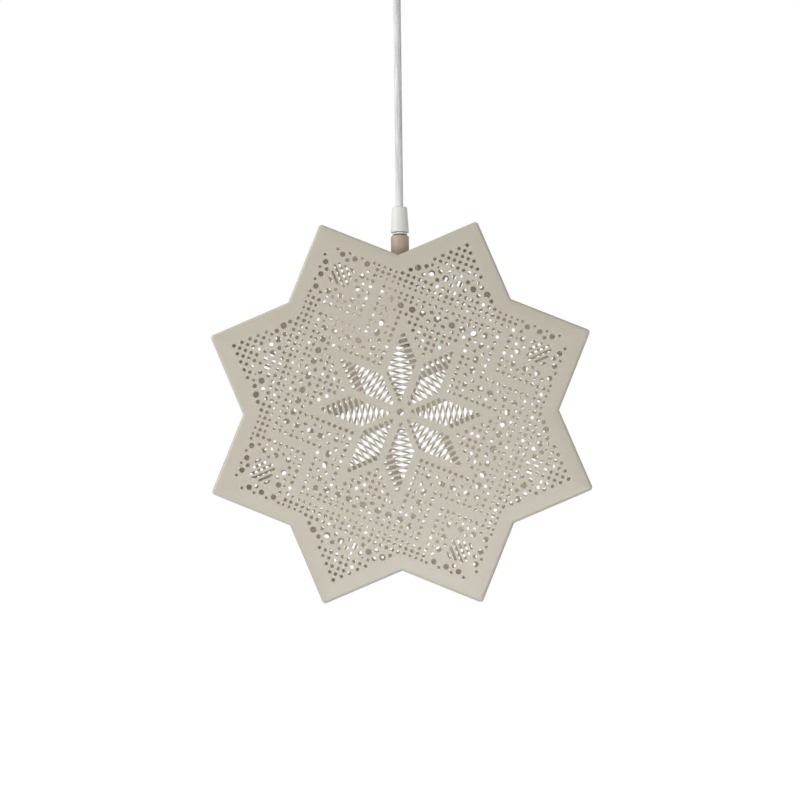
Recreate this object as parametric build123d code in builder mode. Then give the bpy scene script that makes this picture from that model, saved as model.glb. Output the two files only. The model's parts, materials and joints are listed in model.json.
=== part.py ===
from build123d import *
import os
from math import cos, radians, sin, sqrt, tan

# Flat eight-pointed star pendant. Millimetres, +Z up, the front of the star faces -Y.
# The origin is on the ceiling, on the axis of the cord.

os.makedirs("parts", exist_ok=True)

# Star shade
tip_radius = 200.0  # centre to a tip, before the tip is rounded
tip_rounding = 3.6
star_depth = 90.0  # front face to back face
sheet = 1.0
rim_edge = 1.3  # slant between a face and its rim
rim_depth = 10.0
slide_gap = 0.3  # between a rim and the wall band inside it

# Openings in the front and back faces
pattern_turn = 22.5  # from the upright notch to the first slotted tip
centre_hole_radius = 3.4
petal_axis_gap = 2.4  # petal to the axis of a slotted tip
petal_width = 31.7
petal_start = 5.0  # lower oblique side, measured along the axis of a slotted tip
petal_length = 33.2
louvre_count = 12
louvre_start = 11.4
louvre_pitch = 5.5
louvre_width = 3.5
louvre_lean = 8.2  # degrees
diamond_centre = 145.2
diamond_pitch = 4.56
diamond_lengths = [24.6, 14.8, 6.4]
diamond_slot_width = 2.5
ring_centre = 102.6  # of a slotted diamond, along and across a dotted tip
ring_pitch = 12.8
ring_opening = 5.5
row_height = 96.3  # along a dotted tip
row_openings = [(0.0, 8.0, 6.3), (15.2, 6.9, 6.0), (26.1, 6.9, 6.0), (38.1, 6.7, 5.9)]  # place, width, height
column_place = 49.2  # beside the axis of a dotted tip
column_openings = [(98.9, 5.1, 6.6), (88.5, 5.0, 6.2), (74.1, 5.3, 7.2), (63.3, 5.5, 7.4)]  # level, width, height
square_share = 0.886  # side of a square with the area of a round opening one wide

# Cord, its grip and the neck
cord_diameter = 7.5
stripped_diameter = 6.2  # the cord without its braid
core_diameter = 2.2
cord_clearance = 0.3
joint_gap = 0.3  # between the rounded end of the free cord and the next stretch
free_cord = 221.0  # from the bend point to the grip
grip_height = 25.2
grip_top_radius = 7.6
grip_foot_radius = 9.2
grip_edge = 0.8
grip_washer_radius = 7.4
grip_washer_height = 1.3
grip_screw_drop = 8.0
clamp_screw_radius = 2.0
screw_slot = 0.8
neck_radius = 9.15
neck_wall = 1.2
neck_cap = 2.4
neck_chamfer = 1.4
neck_collar_radius = 7.3
neck_collar_height = 1.0
neck_reach = 27.2  # from the notch of the star up to the washer
thread_radius = 5.0
thread_bore_radius = 4.0
thread_fit = 0.05
thread_clearance = 0.2
thread_engagement = 9.0
tail_reach = 1.5  # of the cord below the threaded nipple

# Hanger inside the upright notch
hanger_drop = 6.0
hanger_sheet = 2.0
hanger_bend = 2.5
hanger_width = 40.0
hanger_flat = 30.0
hanger_wing_start = 19.0
hanger_wing_end = 37.0
rivet_radius = 2.0
rivet_head_radius = 3.6
rivet_head_height = 1.2
rivet_fit = 0.05
nut_width = 14.0  # across the flats
nut_height = 3.0

# Lamp holder
cup_radius = 15.0
cup_wall = 1.0
cup_edge = 1.0
cup_length = 71.0
holder_radius = 13.2
holder_wall = 2.0
holder_cap_height = 15.0
holder_mouth_inset = 1.5
holder_mouth_radius = 8.4
holder_floor = 4.0
lamp_thread_radius = 7.0
lamp_sleeve_wall = 0.4
lamp_sleeve_length = 21.0
lamp_sleeve_inset = 3.0
contact_space = 6.0
contact_sheet = 0.5
contact_width = 4.0
contact_drop = 3.5
tag_thickness = 0.8
tag_radius = 7.6
tag_reach = 10.8
tag_width = 4.0
terminal_size = 5.0
terminal_height = 7.0
terminal_spacing = 12.0

# Ceiling fitting
canopy_gap = 0.5
canopy_height = 32.0
canopy_travel = 27.5  # how far the canopy slides down the cord to open the fitting
swing_gap = 0.5  # from the lowered canopy to the point where the cord bends
canopy_radius = 46.0
canopy_edge = 4.0
canopy_wall = 2.0
boss_radius = 9.0
boss_height = 8.0
bracket_length = 76.0
bracket_width = 18.0
bracket_sheet = 2.0
bracket_hole_radius = 2.5
bracket_hole_spacing = 60.0
stirrup_width = 26.0
stirrup_drop = 17.0
stirrup_front = 10.0
stirrup_back = 12.0
anchor_radius = 9.0
anchor_height = 7.0
anchor_spigot = 5.5  # length below the shelf's upper side
block_width = 24.0
block_height = 12.0
block_depth = 14.0
pole_pitch = 8.0
pole_radius = 2.2
lead_rise = 2.5
pole_screw_width = 3.0
pole_recess = 0.6
block_screw_radius = 1.1
block_screw_head_radius = 2.2
block_screw_head_height = 1.2

# Lid clips
clip_sheet = 0.8
clip_width = 14.0
clip_foot = 11.0
clip_leg = 22.0
clip_reach = 30.0
clip_flare = 2.6
clip_bend = 1.2

# Levels, from the ceiling down
cord_radius = cord_diameter / 2
cord_bore_radius = cord_radius + cord_clearance
stub_fit = cord_clearance / 3
outlet_z = -canopy_gap - canopy_height
bend_z = outlet_z - canopy_travel - swing_gap
grip_top_z = bend_z - free_cord
grip_foot_z = grip_top_z - grip_height
neck_top_z = grip_foot_z - grip_washer_height
notch_share = cos(radians(45)) / cos(radians(22.5))
star_z = neck_top_z - neck_reach - notch_share * tip_radius
wall_slope = tan(radians(22.5))
band_inset = sheet + slide_gap
band_inner_inset = band_inset + sheet
band_notch_z = star_z + notch_share * (tip_radius - sqrt(2) * band_inner_inset)
hanger_top_z = band_notch_z - hanger_drop
cup_top_z = hanger_top_z - hanger_sheet - nut_height
cup_mouth_z = cup_top_z - cup_length
holder_top_z = cup_top_z - cup_wall
holder_joint_z = holder_top_z - holder_cap_height
holder_mouth_z = cup_mouth_z + holder_mouth_inset
tag_z = holder_top_z - thread_engagement
nipple_foot_z = tag_z - tag_thickness - nut_height
nipple_top_z = grip_foot_z + thread_engagement
tail_foot_z = nipple_foot_z - tail_reach
sleeve_foot_z = holder_mouth_z + lamp_sleeve_inset
floor_foot_z = sleeve_foot_z + lamp_sleeve_length + contact_space
floor_top_z = floor_foot_z + holder_floor
shelf_top_z = bracket_sheet - stirrup_drop
anchor_top_z = shelf_top_z + anchor_height
anchor_foot_z = shelf_top_z - anchor_spigot
block_top_z = anchor_top_z
half_depth = star_depth / 2
inner_back_y = half_depth - sheet

front_face = Plane(origin=(0, -half_depth, star_z), x_dir=(1, 0, 0), z_dir=(0, -1, 0))
back_face = Plane(origin=(0, half_depth, star_z), x_dir=(-1, 0, 0), z_dir=(0, 1, 0))
star_axis = Axis((0, 0, star_z), (0, 1, 0))
upright = (Align.CENTER, Align.CENTER, Align.MIN)


def finish(piece, name):
    """Labels a finished piece and writes its file."""
    piece.part.label = name
    export_step(piece.part, f"parts/{name}.step")


def star_outline(inset):
    """Eight-pointed star with one notch upright, its edges moved in by inset."""
    reach = tip_radius - sqrt(2) * inset
    corners = []
    for step in range(16):
        radius = reach if step % 2 else notch_share * reach
        angle = radians(90 + 22.5 * step)
        corners.append((radius * cos(angle), radius * sin(angle)))
    with BuildSketch(mode=Mode.PRIVATE) as outline:
        with BuildLine():
            Polyline(*corners, close=True)
        make_face()
        fillet(outline.vertices().group_by(SortBy.DISTANCE)[-1], tip_rounding - inset)
    return outline.sketch


def louvred_petal():
    """One petal beside the axis of a slotted tip, cut into leaning louvres."""
    near = petal_axis_gap
    far = petal_axis_gap + petal_width
    middle = (near + far) / 2
    fall = (middle - near) * tan(radians(louvre_lean))
    with BuildSketch(mode=Mode.PRIVATE) as petal:
        for row in range(louvre_count):
            with Locations((middle, louvre_start + row * louvre_pitch - fall)):
                Rectangle(2 * petal_width, louvre_width, rotation=-louvre_lean)
        with BuildLine():
            Polyline(
                (near, near + petal_start),
                (far, far + petal_start),
                (far, far + petal_start + petal_length),
                (near, near + petal_start + petal_length),
                close=True,
            )
        make_face(mode=Mode.INTERSECT)
    return petal.sketch


def ring_of_squares():
    """Large openings round a slotted diamond, open at its outer corner; a dotted tip points up."""
    with BuildSketch(mode=Mode.PRIVATE) as ring:
        with Locations((ring_centre, ring_centre)):
            with GridLocations(ring_pitch, ring_pitch, 4, 4):
                Rectangle(square_share * ring_opening, square_share * ring_opening)
            Rectangle(2 * ring_pitch, 2 * ring_pitch, mode=Mode.SUBTRACT)
        with Locations((ring_centre + 1.5 * ring_pitch, ring_centre + 1.5 * ring_pitch)):
            Rectangle(ring_pitch, ring_pitch, mode=Mode.SUBTRACT)
    return ring.sketch


def rows_of_squares():
    """The wide row across a dotted tip and the column on either side of it."""
    with BuildSketch(mode=Mode.PRIVATE) as rows:
        for place, width, height in row_openings:
            with Locations((-place, row_height), (place, row_height)):
                Rectangle(square_share * width, square_share * height)
        for level, width, height in column_openings:
            with Locations((-column_place, level), (column_place, level)):
                Rectangle(square_share * width, square_share * height)
    return rows.sketch


def star_openings():
    """Openings of a face: eight petals, four slotted diamonds, the centre and the larger round ones."""
    petal = louvred_petal()
    twin = petal.mirror(Plane.YZ)
    ring = ring_of_squares()
    rows = rows_of_squares()
    with BuildSketch(mode=Mode.PRIVATE) as openings:
        Circle(centre_hole_radius)
        with PolarLocations(0, 4, start_angle=pattern_turn):
            add(petal)
            add(twin)
            for place, length in enumerate(diamond_lengths):
                aside = (place + 0.5) * diamond_pitch
                with Locations((-aside, diamond_centre), (aside, diamond_centre)):
                    Rectangle(diamond_slot_width, length)
        with PolarLocations(0, 4, start_angle=-pattern_turn):
            add(ring)
            add(rows)
    return openings.sketch


def pressed_face(plane):
    """A star face with a bent rim all round, pierced by its openings."""
    with BuildPart(mode=Mode.PRIVATE) as face:
        with BuildSketch(plane):
            add(star_outline(0))
        extrude(amount=-rim_depth)
        chamfer(face.faces().sort_by(Axis(plane.origin, plane.z_dir))[-1].edges(), rim_edge)
        with BuildSketch(plane.offset(-sheet)):
            add(star_outline(sheet))
        extrude(amount=-rim_depth, mode=Mode.SUBTRACT)
        with BuildSketch(plane):
            add(star_openings())
        extrude(amount=-2 * sheet, mode=Mode.SUBTRACT)
    return face.part


def folded_strip(plane, route, bend, thickness, width):
    """A strip of sheet along a route; its thickness lies to the right of the route."""
    with BuildPart(mode=Mode.PRIVATE) as strip:
        with BuildSketch(plane):
            with BuildLine():
                FilletPolyline(*route, radius=bend)
                offset(amount=thickness, side=Side.RIGHT)
            make_face()
        extrude(amount=width / 2, both=True)
    return strip.part


def turned(*profile):
    """A body of revolution about the cord's axis, from points of radius and height."""
    with BuildPart(mode=Mode.PRIVATE) as body:
        with BuildSketch(Plane.XZ):
            with BuildLine():
                Polyline(*profile, close=True)
            make_face()
        revolve(axis=Axis.Z)
    return body.part


def insulated_core(*route):
    """A single insulated core, bent sharply from one straight run into the next."""
    first = Vector(route[0])
    with BuildPart(mode=Mode.PRIVATE) as core:
        with BuildLine():
            Polyline(*route)
        with BuildSketch(Plane(origin=first, z_dir=Vector(route[1]) - first)):
            Circle(core_diameter / 2)
        sweep(transition=Transition.RIGHT)
    return core.part


def clamp_screw(side, tip, head, z):
    """A slotted grub screw that points at the cord from the back (side 1) or the front (-1)."""
    with BuildPart(mode=Mode.PRIVATE) as screw:
        with BuildSketch(Plane(origin=(0, side * tip, z), x_dir=(1, 0, 0), z_dir=(0, side, 0))):
            Circle(clamp_screw_radius)
        extrude(amount=head - tip)
        with BuildSketch(Plane(origin=(0, side * head, z), x_dir=(1, 0, 0), z_dir=(0, side, 0))):
            Rectangle(2 * clamp_screw_radius, screw_slot)
        extrude(amount=-screw_slot, mode=Mode.SUBTRACT)
    return screw.part


def clamp_hole(side, reach, z):
    """The hole of a grub screw, from the axis of the cord outwards."""
    with BuildPart(mode=Mode.PRIVATE) as hole:
        with BuildSketch(Plane(origin=(0, 0, z), x_dir=(1, 0, 0), z_dir=(0, side, 0))):
            Circle(clamp_screw_radius + thread_fit)
        extrude(amount=reach)
    return hole.part


# Star shade: two pressed faces on a folded wall band

with BuildPart() as front_panel:
    add(pressed_face(front_face))
finish(front_panel, "front_panel")

with BuildPart() as back_panel:
    add(pressed_face(back_face))
finish(back_panel, "back_panel")


def wing_height(x):
    """Level of the band's inner side above or beside the upright notch."""
    return band_notch_z + abs(x) * wall_slope


rivet_x = (hanger_wing_start + hanger_wing_end) / 2
rivet_planes = [
    Plane(origin=(side * rivet_x, 0, wing_height(rivet_x)), z_dir=(-side * wall_slope, 0, 1))
    for side in (-1, 1)
]
rivet_hole_reach = 2 * (sheet + hanger_sheet)

with BuildPart() as wall_band:
    with BuildSketch(front_face.offset(-sheet)):
        add(star_outline(band_inset))
        add(star_outline(band_inner_inset), mode=Mode.SUBTRACT)
    extrude(amount=-(star_depth - 2 * sheet))
    with BuildSketch(Plane.XY.offset(band_notch_z - band_inset)):
        Circle(neck_radius + cord_clearance)
    extrude(amount=neck_reach, mode=Mode.SUBTRACT)
    with Locations(*rivet_planes):
        Cylinder(rivet_radius + rivet_fit, rivet_hole_reach, mode=Mode.SUBTRACT)
finish(wall_band, "wall_band")

# Hanger in the upright notch

hanger_route = [
    (-hanger_wing_end, wing_height(hanger_wing_end)),
    (-hanger_wing_start, wing_height(hanger_wing_start)),
    (-hanger_flat / 2, hanger_top_z),
    (hanger_flat / 2, hanger_top_z),
    (hanger_wing_start, wing_height(hanger_wing_start)),
    (hanger_wing_end, wing_height(hanger_wing_end)),
]

with BuildPart() as hanger_bracket:
    add(folded_strip(Plane.XZ, hanger_route, hanger_bend, hanger_sheet, hanger_width))
    with BuildSketch(Plane.XY.offset(hanger_top_z)):
        Circle(thread_radius + thread_clearance)
    extrude(amount=-hanger_sheet, mode=Mode.SUBTRACT)
    with Locations(*rivet_planes):
        Cylinder(rivet_radius + rivet_fit, rivet_hole_reach, mode=Mode.SUBTRACT)
finish(hanger_bracket, "hanger_bracket")

with BuildPart() as hanger_rivets:
    for plane in rivet_planes:
        with BuildSketch(plane.offset(sheet)):
            Circle(rivet_head_radius)
        extrude(amount=rivet_head_height)
        with BuildSketch(plane.offset(sheet)):
            Circle(rivet_radius)
        extrude(amount=-(sheet + hanger_sheet))
        with BuildSketch(plane.offset(-hanger_sheet)):
            Circle(rivet_head_radius)
        extrude(amount=-rivet_head_height)
finish(hanger_rivets, "hanger_rivets")

with BuildPart() as hanger_nut:
    with BuildSketch(Plane.XY.offset(hanger_top_z - hanger_sheet)):
        RegularPolygon(nut_width / 2, 6, major_radius=False)
        Circle(thread_radius + thread_fit, mode=Mode.SUBTRACT)
    extrude(amount=-nut_height)
finish(hanger_nut, "hanger_nut")

# Neck and cord grip

neck_cap_z = neck_top_z - neck_collar_height
hole_radius = thread_radius + thread_clearance

with BuildPart() as neck_tube:
    add(
        turned(
            (neck_radius, hanger_top_z),
            (neck_radius, neck_cap_z - neck_chamfer),
            (neck_radius - neck_chamfer, neck_cap_z),
            (neck_collar_radius, neck_cap_z),
            (neck_collar_radius, neck_top_z),
            (hole_radius, neck_top_z),
            (hole_radius, neck_cap_z - neck_cap),
            (neck_radius - neck_wall, neck_cap_z - neck_cap),
            (neck_radius - neck_wall, hanger_top_z),
        )
    )
finish(neck_tube, "neck_tube")

with BuildPart() as grip_washer:
    with BuildSketch(Plane.XY.offset(neck_top_z)):
        Circle(grip_washer_radius)
        Circle(hole_radius, mode=Mode.SUBTRACT)
    extrude(amount=grip_washer_height)
finish(grip_washer, "grip_washer")

grip_screw_z = grip_top_z - grip_screw_drop
grip_radius_at_screw = grip_top_radius + (grip_foot_radius - grip_top_radius) * grip_screw_drop / grip_height

with BuildPart() as cord_grip:
    add(
        turned(
            (thread_radius + thread_fit, grip_foot_z),
            (grip_foot_radius, grip_foot_z),
            (grip_top_radius, grip_top_z - grip_edge),
            (grip_top_radius - grip_edge, grip_top_z),
            (cord_bore_radius, grip_top_z),
            (cord_bore_radius, nipple_top_z),
            (thread_radius + thread_fit, nipple_top_z),
        )
    )
    add(clamp_hole(1, 2 * grip_foot_radius, grip_screw_z), mode=Mode.SUBTRACT)
finish(cord_grip, "cord_grip")

with BuildPart() as grip_screw:
    add(clamp_screw(1, cord_bore_radius, grip_radius_at_screw - grip_edge / 2, grip_screw_z))
finish(grip_screw, "grip_screw")

with BuildPart() as threaded_nipple:
    with BuildSketch(Plane.XY.offset(nipple_foot_z)):
        Circle(thread_radius)
        Circle(thread_bore_radius, mode=Mode.SUBTRACT)
    extrude(amount=nipple_top_z - nipple_foot_z)
finish(threaded_nipple, "threaded_nipple")

# Cord: clamped stub in the ceiling fitting, upper stretch, free stretch, and its tail below

with BuildPart() as cord_stub:
    with BuildSketch(Plane.XY.offset(anchor_foot_z)):
        Circle(cord_radius)
    extrude(amount=anchor_top_z - anchor_foot_z)
finish(cord_stub, "cord_stub")

with BuildPart() as upper_cord:
    with BuildSketch(Plane.XY.offset(anchor_foot_z)):
        Circle(cord_radius)
    extrude(amount=-(anchor_foot_z - bend_z - cord_radius - joint_gap))
finish(upper_cord, "upper_cord")

cord_end = cord_radius * cos(radians(30))
cord_end_radius = cord_radius * sin(radians(30))

with BuildPart() as cord:
    add(
        turned(
            (0, bend_z + cord_end),
            (cord_end_radius, bend_z + cord_end),
            (cord_radius, bend_z),
            (cord_radius, grip_top_z),
            (cord_end_radius, grip_top_z - cord_end),
            (0, grip_top_z - cord_end),
        )
    )
finish(cord, "cord")

with BuildPart() as cord_tail:
    with BuildSketch(Plane.XY.offset(nipple_top_z)):
        Circle(cord_radius)
    extrude(amount=grip_top_z - cord_radius - joint_gap - nipple_top_z)
    with BuildSketch(Plane.XY.offset(nipple_top_z)):
        Circle(stripped_diameter / 2)
    extrude(amount=-(nipple_top_z - tail_foot_z))
finish(cord_tail, "cord_tail")

# Lamp holder in its cup

with BuildPart() as socket_cup:
    add(
        turned(
            (hole_radius, cup_top_z),
            (cup_radius - cup_edge, cup_top_z),
            (cup_radius, cup_top_z - cup_edge),
            (cup_radius, cup_mouth_z),
            (cup_radius - cup_wall, cup_mouth_z),
            (cup_radius - cup_wall, holder_top_z),
            (hole_radius, holder_top_z),
        )
    )
finish(socket_cup, "socket_cup")

chamber_radius = holder_radius - holder_wall

with BuildPart() as holder_cap:
    add(
        turned(
            (thread_radius + thread_fit, holder_top_z),
            (holder_radius, holder_top_z),
            (holder_radius, holder_joint_z),
            (chamber_radius, holder_joint_z),
            (chamber_radius, tag_z),
            (thread_radius + thread_fit, tag_z),
        )
    )
finish(holder_cap, "holder_cap")

sleeve_seat_radius = lamp_thread_radius + lamp_sleeve_wall + thread_fit

with BuildPart() as holder_shell:
    add(
        turned(
            (holder_radius, holder_joint_z),
            (holder_radius, holder_mouth_z),
            (holder_mouth_radius, holder_mouth_z),
            (holder_mouth_radius, sleeve_foot_z),
            (sleeve_seat_radius, sleeve_foot_z),
            (sleeve_seat_radius, floor_foot_z),
            (0, floor_foot_z),
            (0, floor_top_z),
            (chamber_radius, floor_top_z),
            (chamber_radius, holder_joint_z),
        )
    )
finish(holder_shell, "holder_shell")

with BuildPart() as lamp_sleeve:
    with BuildSketch(Plane.XY.offset(sleeve_foot_z)):
        Circle(lamp_thread_radius + lamp_sleeve_wall)
        Circle(lamp_thread_radius, mode=Mode.SUBTRACT)
    extrude(amount=lamp_sleeve_length)
finish(lamp_sleeve, "lamp_sleeve")

contact_route = [
    (contact_sheet - lamp_thread_radius, floor_foot_z),
    (-lamp_thread_radius / 3, floor_foot_z),
    (0, floor_foot_z - contact_drop),
    (lamp_thread_radius / 2, floor_foot_z - contact_drop),
]

with BuildPart() as centre_contact:
    add(folded_strip(Plane.XZ, contact_route, contact_sheet, contact_sheet, contact_width))
finish(centre_contact, "centre_contact")

terminal_places = [(-terminal_spacing / 2, 0), (terminal_spacing / 2, 0)]

with BuildPart() as holder_terminals:
    with BuildSketch(Plane.XY.offset(floor_top_z)):
        with Locations(*terminal_places):
            Rectangle(terminal_size, terminal_size)
    extrude(amount=terminal_height)
finish(holder_terminals, "holder_terminals")

terminal_face = (0, -terminal_size / 2, floor_top_z + terminal_height / 2)

with BuildPart() as holder_screws:
    with BuildSketch(Plane(origin=terminal_face, x_dir=(1, 0, 0), z_dir=(0, -1, 0))):
        with Locations(*terminal_places):
            Circle(terminal_size / 3)
    extrude(amount=terminal_size / 3)
finish(holder_screws, "holder_screws")

with BuildPart() as earth_tag:
    with BuildSketch(Plane.XY.offset(tag_z)):
        Circle(tag_radius)
        with Locations((0, -tag_reach / 2)):
            Rectangle(tag_width, tag_reach)
        Circle(hole_radius, mode=Mode.SUBTRACT)
    extrude(amount=-tag_thickness)
finish(earth_tag, "earth_tag")

with BuildPart() as earth_nut:
    with BuildSketch(Plane.XY.offset(tag_z - tag_thickness)):
        RegularPolygon(nut_width / 2, 6, major_radius=False)
        Circle(thread_radius + thread_fit, mode=Mode.SUBTRACT)
    extrude(amount=-nut_height)
finish(earth_nut, "earth_nut")

core_x = core_diameter / 2 + stub_fit
core_run = (tail_foot_z - floor_top_z - terminal_height) / 3

with BuildPart() as holder_leads:
    for side in (-1, 1):
        near = side * core_x
        far = side * terminal_spacing / 2
        add(
            insulated_core(
                (near, 0, tail_foot_z),
                (near, 0, tail_foot_z - core_run),
                (far, 0, tail_foot_z - 2 * core_run),
                (far, 0, tail_foot_z - 3 * core_run),
            )
        )
finish(holder_leads, "holder_leads")

earth_y = 2 * core_x - stub_fit
lug_y = tag_reach - core_x
loop_z = tail_foot_z - core_run

with BuildPart() as earth_lead:
    add(
        insulated_core(
            (0, -earth_y, tail_foot_z),
            (0, -earth_y, loop_z),
            (0, -lug_y, loop_z),
            (0, -lug_y, tag_z - tag_thickness),
        )
    )
finish(earth_lead, "earth_lead")

# Ceiling fitting: strap with a stirrup, cord anchor and terminal block

stirrup_route = [
    (-stirrup_front, 0),
    (stirrup_back, 0),
    (stirrup_back, -stirrup_drop),
    (-stirrup_front, -stirrup_drop),
]
lead_level = anchor_top_z + lead_rise

block_y = stirrup_back + block_depth / 2
block_middle_z = block_top_z - block_height / 2
block_back = Plane(
    origin=(0, stirrup_back + block_depth, block_middle_z), x_dir=(-1, 0, 0), z_dir=(0, 1, 0)
)
block_screw_x = pole_pitch / 2

with BuildPart() as ceiling_bracket:
    with BuildSketch(Plane.XY):
        SlotOverall(bracket_length, bracket_width)
        with GridLocations(bracket_hole_spacing, 0, 2, 1):
            Circle(bracket_hole_radius, mode=Mode.SUBTRACT)
    extrude(amount=-bracket_sheet)
    add(folded_strip(Plane.YZ, stirrup_route, hanger_bend, bracket_sheet, stirrup_width))
    with BuildSketch(Plane.XY.offset(shelf_top_z)):
        Circle(hole_radius)
    extrude(amount=-bracket_sheet, mode=Mode.SUBTRACT)
    with BuildSketch(Plane(origin=(0, stirrup_back, lead_level), x_dir=(1, 0, 0), z_dir=(0, 1, 0))):
        Rectangle(2 * pole_pitch + 2 * core_diameter, 2 * core_diameter)
    extrude(amount=-bracket_sheet, mode=Mode.SUBTRACT)
    with BuildSketch(block_back):
        with Locations((block_screw_x, 0)):
            Circle(block_screw_radius + thread_fit)
    extrude(amount=-(block_depth + bracket_sheet), mode=Mode.SUBTRACT)
finish(ceiling_bracket, "ceiling_bracket")

anchor_screw_z = (shelf_top_z + anchor_top_z) / 2

with BuildPart() as cord_anchor:
    add(
        turned(
            (cord_bore_radius, anchor_foot_z),
            (thread_radius, anchor_foot_z),
            (thread_radius, shelf_top_z),
            (anchor_radius, shelf_top_z),
            (anchor_radius, anchor_top_z),
            (cord_bore_radius, anchor_top_z),
        )
    )
    add(clamp_hole(-1, 2 * anchor_radius, anchor_screw_z), mode=Mode.SUBTRACT)
finish(cord_anchor, "cord_anchor")

with BuildPart() as anchor_nut:
    with BuildSketch(Plane.XY.offset(shelf_top_z - bracket_sheet)):
        RegularPolygon(nut_width / 2, 6, major_radius=False)
        Circle(thread_radius + thread_fit, mode=Mode.SUBTRACT)
    extrude(amount=-nut_height)
finish(anchor_nut, "anchor_nut")

with BuildPart() as anchor_screw:
    add(clamp_screw(-1, cord_bore_radius, anchor_radius, anchor_screw_z))
finish(anchor_screw, "anchor_screw")


with BuildPart() as terminal_block:
    with BuildSketch(Plane.XY.offset(block_top_z)):
        with Locations((0, block_y)):
            Rectangle(block_width, block_depth)
            with GridLocations(pole_pitch, 0, 3, 1):
                Circle(pole_radius + thread_fit, mode=Mode.SUBTRACT)
    extrude(amount=-block_height)
    with BuildSketch(block_back):
        with GridLocations(pole_pitch, block_height / 2, 3, 2):
            Rectangle(pole_screw_width + 2 * thread_fit, pole_screw_width + 2 * thread_fit)
    extrude(amount=-block_depth / 2, mode=Mode.SUBTRACT)
    with BuildSketch(block_back):
        with Locations((block_screw_x, 0)):
            Circle(block_screw_radius + thread_fit)
    extrude(amount=-block_depth, mode=Mode.SUBTRACT)
finish(terminal_block, "terminal_block")

with BuildPart() as block_screw:
    with BuildSketch(block_back):
        with Locations((block_screw_x, 0)):
            Circle(block_screw_head_radius)
    extrude(amount=block_screw_head_height)
    with BuildSketch(block_back):
        with Locations((block_screw_x, 0)):
            Circle(block_screw_radius)
    extrude(amount=-(block_depth + bracket_sheet))
finish(block_screw, "block_screw")

with BuildPart() as terminal_poles:
    with BuildSketch(Plane.XY.offset(block_top_z - pole_recess)):
        with Locations((0, block_y)):
            with GridLocations(pole_pitch, 0, 3, 1):
                Circle(pole_radius)
    extrude(amount=-(block_height - 2 * pole_recess))
finish(terminal_poles, "terminal_poles")

with BuildPart() as terminal_screws:
    with BuildSketch(block_back.offset(-pole_recess)):
        with GridLocations(pole_pitch, block_height / 2, 3, 2):
            Circle(pole_screw_width / 2)
    extrude(amount=-(block_depth / 2 - pole_radius - pole_recess))
finish(terminal_screws, "terminal_screws")

with BuildPart() as ceiling_leads:
    for pole in (-1, 0, 1):
        near = pole * (core_diameter + stub_fit)
        far = pole * pole_pitch
        add(
            insulated_core(
                (near, 0, anchor_top_z),
                (near, 0, lead_level),
                (far, block_y, lead_level),
                (far, block_y, block_top_z - pole_recess),
            )
        )
finish(ceiling_leads, "ceiling_leads")

# Canopy that slides on the cord

boss_top_z = outlet_z + boss_height
boss_screw_z = outlet_z + boss_height / 2
rim_z = -canopy_gap
mitre = canopy_wall * tan(radians(22.5))  # keeps the wall even round the slanted edge

with BuildPart() as canopy:
    add(
        turned(
            (canopy_radius - canopy_wall, rim_z),
            (canopy_radius, rim_z),
            (canopy_radius, boss_top_z + canopy_edge),
            (canopy_radius - canopy_edge, boss_top_z),
            (boss_radius, boss_top_z),
            (boss_radius, outlet_z),
            (cord_bore_radius, outlet_z),
            (cord_bore_radius, boss_top_z + canopy_wall),
            (canopy_radius - canopy_edge - mitre, boss_top_z + canopy_wall),
            (canopy_radius - canopy_wall, boss_top_z + canopy_edge + mitre),
        )
    )
    add(clamp_hole(1, 2 * boss_radius, boss_screw_z), mode=Mode.SUBTRACT)
finish(canopy, "canopy")

with BuildPart() as canopy_screw:
    add(clamp_screw(1, cord_bore_radius, boss_radius, boss_screw_z))
finish(canopy_screw, "canopy_screw")

# Spring clips that hold the back face on the band

clip_angle = radians(112.5)
clip_edge = tip_radius * cos(radians(45)) - band_inner_inset
wall_middle = (tip_radius * sin(radians(45)) + notch_share * tip_radius * sin(radians(22.5))) / 2
clip_origin = (
    clip_edge * cos(clip_angle) - wall_middle * sin(clip_angle),
    inner_back_y,
    star_z + clip_edge * sin(clip_angle) + wall_middle * cos(clip_angle),
)
inward = (-cos(clip_angle), 0, -sin(clip_angle))
clip_plane = Plane(origin=clip_origin, x_dir=inward, z_dir=Vector(*inward).cross(Vector(0, -1, 0)))
clip_route = [
    (clip_foot, 0),
    (slide_gap, 0),
    (slide_gap, clip_leg),
    (slide_gap + clip_flare, clip_reach),
]

clip = folded_strip(clip_plane, clip_route, clip_bend, clip_sheet, clip_width)

with BuildPart() as lid_clips:
    for quarter in range(4):
        add(clip.rotate(star_axis, 90 * quarter))
finish(lid_clips, "lid_clips")
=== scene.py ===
import json
from math import atan2, cos, pi, radians, sin, sqrt, tan

import bmesh
import bpy
from mathutils import Matrix, Vector


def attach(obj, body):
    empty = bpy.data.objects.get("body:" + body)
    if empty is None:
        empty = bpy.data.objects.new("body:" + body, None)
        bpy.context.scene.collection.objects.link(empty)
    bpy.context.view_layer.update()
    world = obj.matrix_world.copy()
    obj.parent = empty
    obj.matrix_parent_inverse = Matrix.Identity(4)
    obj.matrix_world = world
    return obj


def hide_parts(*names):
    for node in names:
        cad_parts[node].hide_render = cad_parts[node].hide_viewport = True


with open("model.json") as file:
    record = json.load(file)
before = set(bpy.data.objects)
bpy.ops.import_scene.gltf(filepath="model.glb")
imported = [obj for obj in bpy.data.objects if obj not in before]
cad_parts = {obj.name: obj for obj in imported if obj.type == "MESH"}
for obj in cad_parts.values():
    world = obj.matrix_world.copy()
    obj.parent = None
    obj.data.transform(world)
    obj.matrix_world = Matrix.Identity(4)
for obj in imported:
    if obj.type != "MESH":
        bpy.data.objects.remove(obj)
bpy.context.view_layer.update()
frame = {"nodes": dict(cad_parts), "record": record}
nodes = frame["nodes"]
scene = bpy.context.scene
print("frame loaded")

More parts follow.
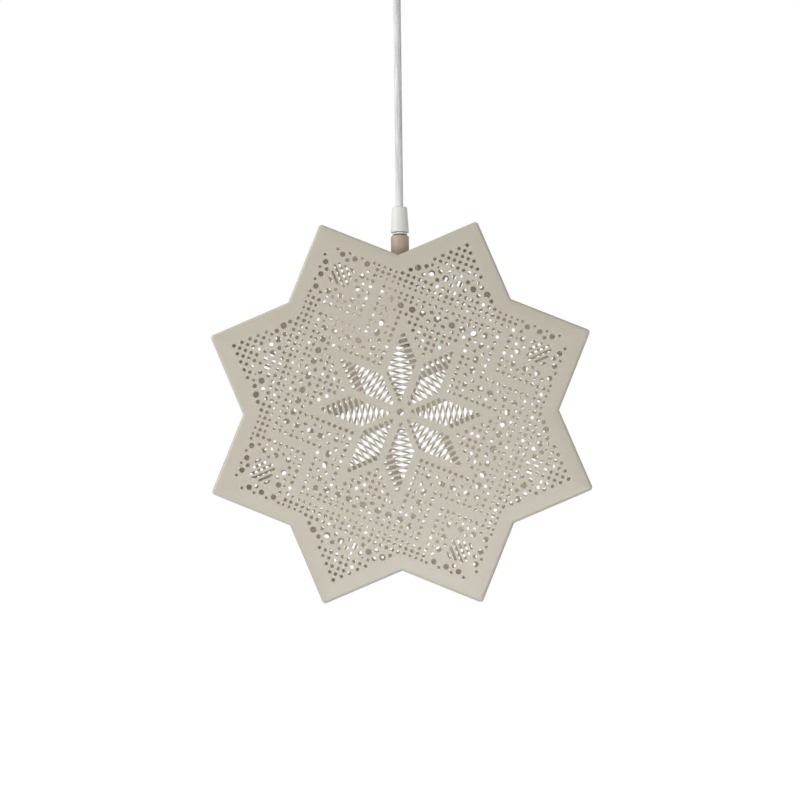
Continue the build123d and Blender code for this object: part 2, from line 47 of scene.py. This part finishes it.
# The camera comes first, then the free cord.
cameraSet = {
    "aim": (0.0, -0.045, -0.48827),  # middle of the star's front face
    "distance": 1.434,
    "aside": 2.13,  # degrees to the right of straight on
    "below": 2.16,  # degrees under straight on
    "roll": 0.7,
    "lens": 66.8,
    "shift": (-0.0004, 0.0151),
    "reach": 50.0,
}


def makeCamera(o):
    data = bpy.data.cameras.new("photoCamera")
    data.lens = o["lens"]
    data.sensor_width = 36.0
    data.shift_x, data.shift_y = o["shift"]
    data.clip_end = o["reach"]
    camera = bpy.data.objects.new("photoCamera", data)
    scene.collection.objects.link(camera)
    aside, below = radians(o["aside"]), radians(o["below"])
    away = Vector((sin(aside) * cos(below), -cos(aside) * cos(below), -sin(below)))
    place = Matrix.Translation(Vector(o["aim"]) + away * o["distance"])
    turn = (-away).to_track_quat("-Z", "Y").to_matrix().to_4x4()
    camera.matrix_world = place @ turn @ Matrix.Rotation(radians(-o["roll"]), 4, "Z")
    scene.camera = camera


makeCamera(cameraSet)

cordSet = {
    "diameter": 0.0075,
    "foot": -0.2835,  # just inside the grip
    "top": -0.0564,  # where the cord of the fitting ends
}


def makeCord(o):
    data = bpy.data.curves.new("cordBraid", "CURVE")
    data.dimensions = "3D"
    data.bevel_depth = 1.0  # the points carry the radius, so the curve's box is the tube's own
    data.bevel_resolution = 9
    data.use_fill_caps = True
    spline = data.splines.new("NURBS")
    heights = [o["foot"], (o["foot"] * 2 + o["top"]) / 3, (o["foot"] + o["top"] * 2) / 3, o["top"]]
    spline.points.add(len(heights) - 1)
    for point, height in zip(spline.points, heights):
        point.co = (0, 0, height, 1)
        point.radius = o["diameter"] / 2
    spline.order_u = 3
    spline.use_endpoint_u = True
    spline.use_smooth = True
    cord = bpy.data.objects.new("cordBraid", data)
    scene.collection.objects.link(cord)
    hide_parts("cord")
    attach(cord, "cord")
    return cord


cordBraid = makeCord(cordSet)
print("camera and cord made")


class Value:  # one socket, as a number that can be reckoned with
    def __init__(self, sheet, socket):
        self.sheet = sheet
        self.socket = socket

    def maths(self, operation, *others):
        return self.sheet.add("ShaderNodeMath", {"operation": operation}, [self, *others])

    def __add__(self, other):
        return self.maths("ADD", other)

    def __mul__(self, other):
        return self.maths("MULTIPLY", other)

    def __sub__(self, other):
        return self.maths("SUBTRACT", other)

    def __rsub__(self, other):
        return self.sheet.add("ShaderNodeMath", {"operation": "SUBTRACT"}, [other, self])

    __radd__, __rmul__ = __add__, __mul__


class Sheet:  # the nodes of one material, or of the world
    def __init__(self, tree):
        self.tree = tree
        self.place = None

    def feed(self, socket, source):
        if isinstance(source, Value):
            self.tree.links.new(source.socket, socket)
        elif socket.type == "RGBA":
            socket.default_value = (*source, 1)
        else:
            socket.default_value = source

    def add(self, kind, settings=None, links=(), out=0):
        node = self.tree.nodes.new(kind)
        for name, setting in (settings or {}).items():
            if name == "stops":
                for element, (position, colour) in zip(node.color_ramp.elements, setting):
                    element.position = position
                    element.color = (*colour, 1)
            else:
                setattr(node, name, setting)
        for key, source in links.items() if isinstance(links, dict) else enumerate(links):
            self.feed(node.inputs[key], source)
        return Value(self, node.outputs[out]) if node.outputs else None

    def spot(self):
        if self.place is None:
            self.place = self.add("ShaderNodeTexCoord", out="Object")
        return self.place

    def noise(self, scale, detail=2.0, rough=0.5, at=None):
        where = self.spot() if at is None else at
        links = {"Vector": where, "Scale": scale, "Detail": detail, "Roughness": rough}
        return self.add("ShaderNodeTexNoise", links=links)

    def stretched(self, x, y, z):
        return self.add("ShaderNodeMapping", links={"Vector": self.spot(), "Scale": (x, y, z)})

    def parts(self):
        cut = self.add("ShaderNodeSeparateXYZ", links=[self.spot()])
        return [Value(self, out) for out in cut.socket.node.outputs]

    def ramp(self, amount, stops):
        return self.add("ShaderNodeValToRGB", {"stops": stops}, [amount])

    def blend(self, amount, first, second):
        return self.add("ShaderNodeMix", {"data_type": "RGBA"}, {0: amount, 6: first, 7: second}, out=2)

    def wear(self, **sockets):
        for name, source in sockets.items():
            self.feed(self.shader.inputs[name.replace("_", " ")], source)

    def bump(self, height, distance, strength=1.0):
        links = {"Height": height, "Distance": distance, "Strength": strength}
        self.wear(Normal=self.add("ShaderNodeBump", links=links))


def newLook(name, **fixed):
    material = bpy.data.materials.new(name)
    material.use_nodes = True
    sheet = Sheet(material.node_tree)
    sheet.material = material
    sheet.shader = sheet.tree.nodes["Principled BSDF"]
    sheet.wear(**fixed)
    return sheet


def toLinear(colour):  # from the numbers a screen shows, 0 to 255
    shares = [part / 255 for part in colour]
    return tuple(share / 12.92 if share < 0.04 else ((share + 0.055) / 1.055) ** 2.4 for share in shares)


def shade(colour, share):
    return tuple(min(1, part * share) for part in colour)


paintSet = {
    "sheen": 0.55, "driftScale": 9.0, "drift": 0.025, "speckScale": 1500.0, "waveShare": 0.3, "wave": 0.35,
    # the last colour here is painted over the neck's collar as a painted shade in the gap under the grip
    # ring
    "rough": 0.4, "roughDrift": 0.12, "peel": 0.00003, "peelStrength": 0.6, "paintedShade": (0.04, 0.035, 0.03),
}
shadeColour = (196, 189, 175)
neckColour = (184, 166, 149)
neckPaintedShadeAbove = -0.3098  # above this height the collar under the ring is painted dark, a painted shade in the gap under the ring


def paint(name, colour, o, paintedShadeAbove=None):
    sheet = newLook(name, Coat_Weight=0.0, Specular_IOR_Level=o["sheen"])
    linear = toLinear(colour)
    drift = sheet.noise(o["driftScale"], 3.0)
    speck = sheet.noise(o["speckScale"], 2.0)
    wave = sheet.noise(o["speckScale"] * o["waveShare"], 1.0)
    tone = sheet.blend(drift, shade(linear, 1 - o["drift"]), shade(linear, 1 + o["drift"]))
    # above the given height the tone turns near-black: a painted shade in the gap under the ring
    if paintedShadeAbove is not None:
        height = sheet.parts()[2]
        tone = sheet.blend(height.maths("GREATER_THAN", paintedShadeAbove), tone, o["paintedShade"])
    sheet.wear(Base_Color=tone, Roughness=o["rough"] + (speck - 0.5) * o["roughDrift"])
    sheet.bump(speck + o["wave"] * wave, o["peel"], o["peelStrength"])
    return sheet.material


braidSet = {
    "strands": 8, "rise": 0.0032, "deep": 0.00022, "streak": 1.5, "streakScale": 520.0, "streakLong": 0.06,
    "fuzzScale": 2600.0, "fuzz": 0.35, "weave": 0.5, "weaveTone": 0.3,
    # the first colour darkens the low parts of the weave, a painted shade in the braid's grooves
    "paintedGrooveShade": (200, 200, 199), "crown": (238, 238, 236), "paintedGrooveShadeAt": 0.2, "crownAt": 0.7,
}


def braid(name, o):
    sheet = newLook(name, Roughness=0.85, Specular_IOR_Level=0.2, Sheen_Weight=0.35, Sheen_Roughness=0.4)
    x, y, z = sheet.parts()
    around = x.maths("ARCTAN2", y)
    climb = z * (2 * pi / o["rise"])
    left = (around * o["strands"] + climb).maths("SINE")
    right = (around * o["strands"] - climb).maths("SINE")
    fuzz = sheet.noise(o["fuzzScale"], 3.0, 0.7)
    streak = sheet.noise(o["streakScale"], 2.0, 0.6, at=sheet.stretched(1, 1, o["streakLong"]))
    height = left * right * o["weave"] + fuzz * o["fuzz"]
    # the tone follows the weave's height, darker in its grooves as painted shade
    stops = [(o["paintedGrooveShadeAt"], toLinear(o["paintedGrooveShade"])), (o["crownAt"], toLinear(o["crown"]))]
    tone = sheet.ramp(height * o["weaveTone"] + (streak - 0.5) * o["streak"] + 0.5, stops)
    sheet.wear(Base_Color=tone)
    sheet.bump(height, o["deep"])
    return sheet.material


plasticSet = {
    "sheen": 0.45, "cloudScale": 45.0, "fineScale": 2200.0, "drift": 0.02, "roughDrift": 0.1,
    "grain": 0.00002, "grainStrength": 0.5,
    "slots": {  # colour, roughness
        "grip_plastic": ((232, 232, 230), 0.45),
        "canopy_plastic": ((230, 230, 227), 0.5),
        "fitting_plastic": ((218, 217, 212), 0.5),
        "block_plastic": ((222, 221, 214), 0.4),
        "holder_plastic": ((44, 42, 41), 0.35),
        "core_insulation": ((96, 112, 150), 0.45),
        "earth_insulation": ((112, 150, 62), 0.45),
    },
}


def plastic(name, colour, rough, o):
    sheet = newLook(name, Specular_IOR_Level=o["sheen"])
    linear = toLinear(colour)
    cloud = sheet.noise(o["cloudScale"], 3.0)
    fine = sheet.noise(o["fineScale"], 2.0)
    tone = sheet.blend(cloud, shade(linear, 1 - o["drift"]), shade(linear, 1 + o["drift"]))
    sheet.wear(Base_Color=tone, Roughness=rough + (fine - 0.5) * o["roughDrift"])
    sheet.bump(fine, o["grain"], o["grainStrength"])
    return sheet.material


drawn, rolled = (1, 1, 40), (30, 1, 1)  # how the tool's lines are pressed together along x, y and z
metalSet = {
    "lineScale": 900.0, "cloudScale": 60.0, "dark": 0.9, "light": 1.08, "lineRough": 0.25, "cloudRough": 0.1,
    "grain": 0.00001, "grainStrength": 0.4,
    "slots": {  # colour, roughness, lines
        "contact_brass": ((0.80, 0.60, 0.27), 0.32, drawn),
        "bracket_steel": ((0.60, 0.60, 0.59), 0.42, rolled),
        "clip_steel": ((0.52, 0.52, 0.53), 0.36, drawn),
        "nut_steel": ((0.60, 0.60, 0.59), 0.38, drawn),
        "rivet_steel": ((0.50, 0.48, 0.44), 0.45, drawn),
        "screw_steel": ((0.62, 0.62, 0.62), 0.34, drawn),
    },
}


def metal(name, colour, rough, way, o):
    sheet = newLook(name, Metallic=1.0)
    lines = sheet.noise(o["lineScale"], 3.0, 0.6, at=sheet.stretched(*way))
    cloud = sheet.noise(o["cloudScale"], 3.0)
    tone = sheet.blend(cloud, shade(colour, o["dark"]), shade(colour, o["light"]))
    roughness = rough + (lines - 0.5) * o["lineRough"] + (cloud - 0.5) * o["cloudRough"]
    sheet.wear(Base_Color=tone, Roughness=roughness)
    sheet.bump(lines, o["grain"], o["grainStrength"])
    return sheet.material


def lookName(slot):
    thing, stuff = slot.split("_")
    return thing + stuff.capitalize()


shadePaint = paint("shadePaint", shadeColour, paintSet)
neckPaint = paint("neckPaint", neckColour, paintSet, paintedShadeAbove=neckPaintedShadeAbove)
cordBraidLook = braid("cordBraidLook", braidSet)
slotLooks = {"shade_paint": shadePaint, "neck_paint": neckPaint, "cord_braid": cordBraidLook}
for slot, (colour, rough) in plasticSet["slots"].items():
    slotLooks[slot] = plastic(lookName(slot), colour, rough, plasticSet)
for slot, (colour, rough, way) in metalSet["slots"].items():
    slotLooks[slot] = metal(lookName(slot), colour, rough, way, metalSet)
slotLooks["nipple_steel"] = slotLooks["nut_steel"]
for part in frame["record"]["subparts"]:
    node = nodes[part["node"]]
    node.data.materials.clear()
    node.data.materials.append(slotLooks[part["material_slot"]])
cordBraid.data.materials.append(cordBraidLook)
print("looks made")


def placePiece(name, mesh, look, slotName, body, *replaced, smooth=30):
    data = bpy.data.meshes.new(name)
    mesh.to_mesh(data)
    mesh.free()
    data.materials.append(look)
    piece = bpy.data.objects.new(name, data)
    scene.collection.objects.link(piece)
    data.shade_smooth()
    data.set_sharp_from_angle(angle=radians(smooth))
    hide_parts(*replaced)
    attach(piece, body)
    return piece


# The star's outline: eight tips and eight notches, in metres, on the plane of a face.
starSet = {
    "centre": Vector((0, 0, -0.48827)),
    "tip": 0.200,
    "tipRound": 0.0036,
    "notchRound": 0.0012,
    "half": 0.045,
    "sheet": 0.001,
    "bend": 0.0030,
    "bendSteps": 5,
    "rim": 0.010,
    "tipSteps": 8,
    "notchSteps": 3,
    "leastBend": 0.0005,
    "middleHole": 0.0034,
    "middleSides": 24,
}


def starLoop(o, inset):
    reach = o["tip"] - sqrt(2) * inset
    notch = reach * cos(radians(45)) / cos(radians(22.5))
    points = []
    for step in range(16):
        isTip = step % 2 == 1
        far = reach if isTip else notch
        turn = radians(90 + 22.5 * step)
        corner = Vector((far * cos(turn), far * sin(turn)))
        half = radians(45) if isTip else radians(67.5)  # half the angle between the edges
        bend = max(o["tipRound"] - inset, o["leastBend"]) if isTip else o["notchRound"] + inset
        side = 1 if isTip else -1
        outward = corner.normalized() * side
        centre = corner - outward * bend / sin(half)
        steps = o["tipSteps"] if isTip else o["notchSteps"]
        base = atan2(outward.y, outward.x)
        for i in range(steps + 1):
            angle = base + (radians(90) - half) * (2 * i / steps - 1) * side
            points.append(centre + bend * Vector((cos(angle), sin(angle))))
    return points


# The round holes. The pattern stands on a dotted tip, and lengths are shares of the tip radius.
pitch = 0.030
ornamentSet = {
    "aslant": -22.5,  # degrees from a dotted tip to the upright notch
    "rows": [  # height, first and last distance to the axis, radius
        (0.300, 0, 0, 0.0092), (0.330, 0, 0.03, 0.0092), (0.360, 0, 0.06, 0.0092),
        (0.390, 0, 0.09, 0.0092), (0.420, 0, 0.12, 0.0092), (0.450, 0, 0, 0.0068),
        (0.450, 0.09, 0.09, 0.0085), (0.450, 0.12, 0.12, 0.0055), (0.450, 0.15, 0.18, 0.0085),
        (0.450, 0.21, 0.21, 0.0075), (0.5136, 0, 0, 0.0068), (0.5136, 0.09, 0.09, 0.0078),
        (0.5136, 0.12, 0.12, 0.0055), (0.5136, 0.15, 0.21, 0.0080), (0.5376, 0, 0.27, 0.0076),
        (0.5376, 0.30, 0.30, 0.0080), (0.5744, 0, 0.27, 0.0066), (0.5744, 0.30, 0.33, 0.0072),
        (0.600, 0, 0.33, 0.0092), (0.6304, 0, 0.24, 0.0092), (0.6250, 0.27, 0.36, 0.0066),
        (0.751, 0, 0.12, 0.0088), (0.781, 0, 0.09, 0.0088), (0.811, 0, 0.06, 0.0088),
        (0.841, 0, 0.03, 0.0088), (0.871, 0, 0, 0.0095),
    ],
    "columns": [  # distance to the axis, lowest and highest, radius
        (0.18, 0.18, 0.42, 0.0092), (0.21, 0.21, 0.21, 0.0085), (0.21, 0.24, 0.24, 0.0055),
        (0.21, 0.33, 0.36, 0.0070), (0.276, 0.36, 0.36, 0.0045), (0.276, 0.45, 0.45, 0.0055),
        (0.276, 0.51, 0.51, 0.0055), (0.30, 0.30, 0.51, 0.0085), (0.36, 0.36, 0.60, 0.0092),
        (0.388, 0.42, 0.42, 0.0050), (0.388, 0.48, 0.48, 0.0062), (0.388, 0.54, 0.54, 0.0060),
        (0.39, 0.39, 0.39, 0.0075),
    ],
    "ovals": [  # distance to the axis, height, half width, half height
        (0, 0.4816, 0.0200, 0.0158), (0.0760, 0.4816, 0.0172, 0.0150),
        (0.1304, 0.4816, 0.0172, 0.0150), (0.1904, 0.4816, 0.0168, 0.0148),
        (0.0376, 0.5040, 0.0120, 0.0086), (0.0376, 0.4600, 0.0120, 0.0086),
        (0.2448, 0.4944, 0.0128, 0.0165), (0.2448, 0.4424, 0.0125, 0.0155),
        (0.2448, 0.3704, 0.0132, 0.0180), (0.2480, 0.3164, 0.0138, 0.0185),
        (0.2387, 0.2387, 0.0125, 0.0125), (0.2664, 0.4056, 0.0072, 0.0105),
        (0.2232, 0.4056, 0.0072, 0.0105), (0.2240, 0.2838, 0.0085, 0.0110),
        (0.2687, 0.2687, 0.0080, 0.0080), (0, 0.7040, 0.0112, 0.0112),
        (0.0720, 0.7040, 0.0112, 0.0112), (0.1440, 0.7040, 0.0112, 0.0112),
        (0.0360, 0.6824, 0.0165, 0.0155), (0.1080, 0.6824, 0.0160, 0.0155),
        (0.1800, 0.6824, 0.0165, 0.0155), (0, 0.6610, 0.0110, 0.0095),
        (0.0712, 0.6610, 0.0110, 0.0105), (0.1426, 0.6610, 0.0110, 0.0105),
        (0.2100, 0.6600, 0.0105, 0.0105), (0.0300, 0.7200, 0.0080, 0.0080),
        (0.0900, 0.7200, 0.0050, 0.0050), (0.1200, 0.7200, 0.0070, 0.0080),
    ],
    "ringMiddle": 0.5130,  # ring of large holes round a slotted diamond
    "ringStep": 0.0640,
    "ringLarge": 0.0138,
    "ringOutside": (0.6250, 0.0072),
    "ringBeside": (0.3980, 0.0082),
    "ringAbove": (0.5912, 0.0105),
    "ringInside": (0.4367, 0.0085),
    "holeSides": 10,
}


def quarterHoles(o):
    holes = []

    def put(x, y, wide, tall):
        for side in (1,) if x < 1e-6 else (1, -1):
            holes.append((side * x, y, wide, tall))

    for y, first, last, radius in o["rows"]:
        for i in range(round((last - first) / pitch) + 1):
            put(first + i * pitch, y, radius, radius)
    for x, low, high, radius in o["columns"]:
        for i in range(round((high - low) / pitch) + 1):
            put(x, low + i * pitch, radius, radius)
    for oval in o["ovals"]:
        put(*oval)
    middle, step = o["ringMiddle"], o["ringStep"]
    ring = [(middle + i * step, *o["ringOutside"]) for i in (-2, -1, 0, 1)]
    ring += [(middle + i * step, middle + 1.5 * step, o["ringLarge"]) for i in (-1.5, -0.5, 0.5)]
    ring += [(middle - 1.5 * step, middle + i * step, o["ringLarge"]) for i in (-1.5, -0.5, 0.5)]
    ring += [(o["ringBeside"][0], middle + i * step, o["ringBeside"][1]) for i in (-1, 0, 1)]
    ring += [(middle, *o["ringAbove"]), (o["ringInside"][0], middle, o["ringInside"][1])]
    for x, y, radius in ring:
        if x <= y + 1e-6:
            put(x, y, radius, radius)
    return holes


def allHoles(o):
    placed, holes = set(), []
    for quarter in range(4):
        turn = Matrix.Rotation(radians(90 * quarter), 2)
        for x, y, wide, tall in quarterHoles(o):
            spot = turn @ Vector((x, y))
            key = (round(spot.x, 3), round(spot.y, 3))
            if key not in placed:
                placed.add(key)
                sizes = (wide, tall) if quarter % 2 == 0 else (tall, wide)
                holes.append((spot, *sizes))
    return holes


# The louvres of a petal and the slots of a diamond, in millimetres from the middle of the star.
petalSet = {
    "gap": 2.4, "width": 31.7, "start": 5.0, "length": 33.2, "cuts": 12, "first": 11.4, "step": 5.5,
    "wide": 3.5, "lean": 8.2, "round": 0.9, "beyond": 60.0,
}
diamondSet = {"centre": 145.2, "step": 4.56, "lengths": (24.6, 14.8, 6.4), "wide": 2.5, "roundShare": 0.49}


def clipPolygon(points, start, end):  # keeps what lies left of the line
    kept = []
    edge = end - start

    def side(point):
        return edge.x * (point.y - start.y) - edge.y * (point.x - start.x)

    for a, b in zip(points, points[1:] + points[:1]):
        if side(a) >= 0:
            kept.append(a)
        if side(a) * side(b) < 0:
            kept.append(a + (b - a) * (side(a) / (side(a) - side(b))))
    return kept


def roundPolygon(points, radius, steps=3, most=0.45):
    rounded = []
    for before, corner, after in zip(points[-1:] + points[:-1], points, points[1:] + points[:1]):
        back, on = before - corner, after - corner
        reach = min(radius / tan(back.angle(on) / 2), back.length * most, on.length * most)
        first, last = corner + back.normalized() * reach, corner + on.normalized() * reach
        for i in range(steps + 1):
            t = i / steps
            rounded.append(first * (1 - t) ** 2 + corner * (2 * t * (1 - t)) + last * t ** 2)
    return rounded


def petalCuts(o):
    near, far = o["gap"], o["gap"] + o["width"]
    low, high = o["start"], o["start"] + o["length"]
    corners = [
        Vector((near, near + low)), Vector((far, far + low)),
        Vector((far, far + high)), Vector((near, near + high)),
    ]
    slope = tan(radians(o["lean"]))
    half = o["wide"] / 2 / cos(radians(o["lean"]))
    cuts = []
    for row in range(o["cuts"]):
        inner = o["first"] + row * o["step"] + slope * near
        outer = inner - slope * o["beyond"]
        strip = [
            Vector((0, inner - half)), Vector((o["beyond"], outer - half)),
            Vector((o["beyond"], outer + half)), Vector((0, inner + half)),
        ]
        for a, b in zip(corners, corners[1:] + corners[:1]):
            strip = clipPolygon(strip, a, b)
        if len(strip) > 2:
            cuts.append(roundPolygon(strip, o["round"]))
    return cuts


def slotCuts(o):
    cuts = []
    for place, length in enumerate(o["lengths"]):
        left = (place + 0.5) * o["step"] - o["wide"] / 2
        right = left + o["wide"]
        low, high = o["centre"] - length / 2, o["centre"] + length / 2
        slot = [Vector((left, low)), Vector((right, low)), Vector((right, high)), Vector((left, high))]
        cuts.append(roundPolygon(slot, o["wide"] * o["roundShare"]))
    return cuts


def addLoop(mesh, points, depth):
    ring = [mesh.verts.new((point.x, depth, point.y)) for point in points]
    return [mesh.edges.new((a, b)) for a, b in zip(ring, ring[1:] + ring[:1])]


def addHole(mesh, sides, matrix):
    upright = Matrix.Rotation(radians(90), 4, "X")
    circle = bmesh.ops.create_circle(
        mesh, cap_ends=False, segments=sides, radius=1.0, matrix=matrix @ upright
    )
    return {edge for vert in circle["verts"] for edge in vert.link_edges}


def makeFace(name, o, node, body):
    mesh = bmesh.new()
    front = -o["half"]
    loop = addLoop(mesh, starLoop(o, o["bend"]), front)
    flat = list(loop)
    plane = Matrix.Translation((0, front, 0))
    turned = plane @ Matrix.Rotation(radians(-ornamentSet["aslant"]), 4, "Y")
    for spot, wide, tall in allHoles(ornamentSet):
        place = Matrix.Translation((spot.x * o["tip"], 0, spot.y * o["tip"]))
        size = Matrix.Diagonal((wide * o["tip"], 1, tall * o["tip"], 1))
        flat += addHole(mesh, ornamentSet["holeSides"], turned @ place @ size)
    outlines = petalCuts(petalSet) + slotCuts(diamondSet)
    for quarter in range(4):
        turn = Matrix.Rotation(radians(90 * quarter - ornamentSet["aslant"]), 2)
        for outline in outlines:
            for side in (1, -1):
                cut = [turn @ Vector((side * point.x, point.y)) * 0.001 for point in outline]
                flat += addLoop(mesh, cut, front)
    middle = Matrix.Diagonal((o["middleHole"], 1, o["middleHole"], 1))
    flat += addHole(mesh, o["middleSides"], plane @ middle)
    filled = bmesh.ops.triangle_fill(
        mesh, use_beauty=True, use_dissolve=False, edges=flat, normal=(0, -1, 0)
    )
    for plate in filled["geom"]:
        if isinstance(plate, bmesh.types.BMFace) and plate.normal.y > 0:
            plate.normal_flip()
    for step in range(1, o["bendSteps"] + 1):
        angle = radians(90) * step / o["bendSteps"]
        inset, depth = o["bend"] * (1 - sin(angle)), front + o["bend"] * (1 - cos(angle))
        ring = addLoop(mesh, starLoop(o, inset), depth)
        bmesh.ops.bridge_loops(mesh, edges=loop + ring)
        loop = ring
    ring = addLoop(mesh, starLoop(o, 0.0), front + o["rim"])
    bmesh.ops.bridge_loops(mesh, edges=loop + ring)
    bmesh.ops.recalc_face_normals(mesh, faces=mesh.faces)
    if sum(face.normal.y * face.calc_area() for face in mesh.faces) > 0:
        bmesh.ops.reverse_faces(mesh, faces=mesh.faces)
    bmesh.ops.solidify(mesh, geom=mesh.faces, thickness=o["sheet"])
    if body == "back":  # the same face, turned round
        about = Matrix.Rotation(pi, 3, "Z")
        bmesh.ops.rotate(mesh, cent=(0, 0, 0), matrix=about, verts=mesh.verts)
    bmesh.ops.translate(mesh, vec=o["centre"], verts=mesh.verts)
    return placePiece(name, mesh, shadePaint, "shade_paint", body, node)


frontFace = makeFace("frontFace", starSet, "front_panel", "star")
makeFace("backFace", starSet, "back_panel", "back")
print("star faces made, with", len(frontFace.data.polygons), "faces each")


def turnPiece(name, o, look, slotName, body, *replaced):
    mesh = bmesh.new()
    outline = roundPolygon([Vector(point) for point in o["profile"]], o["round"])
    edges = addLoop(mesh, outline, 0)
    bmesh.ops.spin(
        mesh, geom=mesh.verts[:] + edges, cent=(0, 0, 0), axis=(0, 0, 1), angle=2 * pi,
        steps=o["steps"], use_merge=True,
    )
    bmesh.ops.remove_doubles(mesh, verts=mesh.verts, dist=1e-7)
    bmesh.ops.recalc_face_normals(mesh, faces=mesh.faces)
    return placePiece(name, mesh, look, slotName, body, *replaced)


# The ring and the neck are turned on the cord's axis. A profile's points are radius and height.
gripRingSet = {
    "round": 0.0002,
    "steps": 72,
    "profile": [(0.0052, -0.30765), (0.0074, -0.30765), (0.0074, -0.30890), (0.0052, -0.30890)],
}
neckSet = {
    "round": 0.0004,
    "steps": 72,
    "profile": [
        (0.0052, -0.30890), (0.0056, -0.30890), (0.0056, -0.30985), (0.0077, -0.30985),
        (0.00915, -0.3112), (0.00915, -0.34365), (0.00795, -0.34365), (0.00795, -0.3114),
        (0.0052, -0.3114),
    ],
}
turnPiece("gripRing", gripRingSet, slotLooks["grip_plastic"], "grip_plastic", "star", "grip_washer")
turnPiece("neckBody", neckSet, neckPaint, "neck_paint", "star", "neck_tube")
print("grip ring and neck made")

stageSet = {"floor": -1.35, "size": 14.0, "world": 0.32, "paper": 0.72, "grey": 0.8, "rough": 0.9}
white = (1, 1, 1)


def seenDirectly(sheet):  # by the eye, in a mirror or through a glass
    seen = sheet.add("ShaderNodeLightPath", out="Is Camera Ray")
    for name in ("Is Glossy Ray", "Is Transmission Ray"):
        seen = seen.maths("MAXIMUM", sheet.add("ShaderNodeLightPath", out=name))
    return seen


def floorPaper(o):
    sheet = newLook(
        "floorPaper", Roughness=o["rough"], Base_Color=shade(white, o["grey"]), Emission_Strength=1.0
    )
    sheet.wear(Emission_Color=sheet.blend(seenDirectly(sheet), shade(white, 0), shade(white, o["paper"])))
    return sheet.material


def makeStage(o):
    mesh = bmesh.new()
    bmesh.ops.create_grid(mesh, x_segments=1, y_segments=1, size=o["size"])
    bmesh.ops.translate(mesh, vec=(0, 0, o["floor"]), verts=mesh.verts)
    data = bpy.data.meshes.new("floor")
    mesh.to_mesh(data)
    mesh.free()
    data.materials.append(floorPaper(o))
    floor = bpy.data.objects.new("floor", data)
    scene.collection.objects.link(floor)
    scene.world = bpy.data.worlds.new("studio")
    scene.world.use_nodes = True
    sheet = Sheet(scene.world.node_tree)
    sheet.tree.nodes.clear()
    lit = sheet.add("ShaderNodeBackground", links={"Color": white, "Strength": o["world"]})
    seen = sheet.add("ShaderNodeBackground", links={"Color": white, "Strength": 1.0})
    mixed = sheet.add("ShaderNodeMixShader", links=[seenDirectly(sheet), lit, seen])
    sheet.add("ShaderNodeOutputWorld", links=[mixed])


makeStage(stageSet)

lampSet = {
    "key": {
        "at": (-2.3, -1.6, 0.15), "to": starSet["centre"], "size": 1.0, "power": 26.0,
        "colour": (0.97, 1, 1),
    },
    "front": {
        "at": (0.1, -2.7, -1.2), "to": starSet["centre"], "size": 1.0, "power": 33.0,
        "colour": (1, 0.982, 0.958),
    },
    "edge": {  # grazes the bent edges from the left and above
        "at": (-1.6, 0.0, 0.90), "to": starSet["centre"], "size": 0.12, "power": 11.0,
        "colour": (0.97, 0.99, 1),
    },
    "cupSide": {
        "at": (-0.08, 0.0, -0.385), "to": Vector((0, 0, -0.385)), "size": 0.05, "power": 0.020,
        "colour": (1, 0.96, 0.90),
    },
}
insideSet = {  # weak lamps behind the front face, one in each tip and one in the middle
    "reach": 0.126, "depth": -0.036, "size": 0.08, "power": 0.0135, "middle": 0.003,
    "lean": -60.0, "share": 0.36,  # stronger this way round the middle, by this share
    "shaded": 1, "shade": 0.4,  # the tip right of the cup is darker
    "colour": (1, 0.95, 0.89),
}


def makeLamp(name, o):
    data = bpy.data.lights.new(name, "AREA")
    data.shape = "DISK"
    data.size = o["size"]
    data.energy = o["power"]
    data.color = o["colour"]
    lamp = bpy.data.objects.new(name, data)
    scene.collection.objects.link(lamp)
    lamp.location = o["at"]
    lamp.rotation_euler = (o["to"] - Vector(o["at"])).to_track_quat("-Z", "Y").to_euler()
    lamp.visible_camera = False
    return lamp


def makeInside(o):
    spots = [(0.0, 0.0, o["middle"])]
    for tip in range(8):
        turn = radians(22.5 + 45 * tip)
        power = o["power"] * (1 + o["share"] * cos(turn - radians(o["lean"])))
        if tip == o["shaded"]:
            power *= o["shade"]
        spots.append((o["reach"] * cos(turn), o["reach"] * sin(turn), power))
    for place, (x, z, power) in enumerate(spots):
        at = starSet["centre"] + Vector((x, o["depth"], z))
        values = {
            "at": at, "to": at + Vector((0, 1, 0)), "size": o["size"], "power": power,
            "colour": o["colour"],
        }
        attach(makeLamp("inside" + str(place), values), "star")


for lampName, lampValues in lampSet.items():
    makeLamp(lampName, lampValues)
makeInside(insideSet)
scene.view_settings.view_transform = "Standard"
print("stage and lamps made")
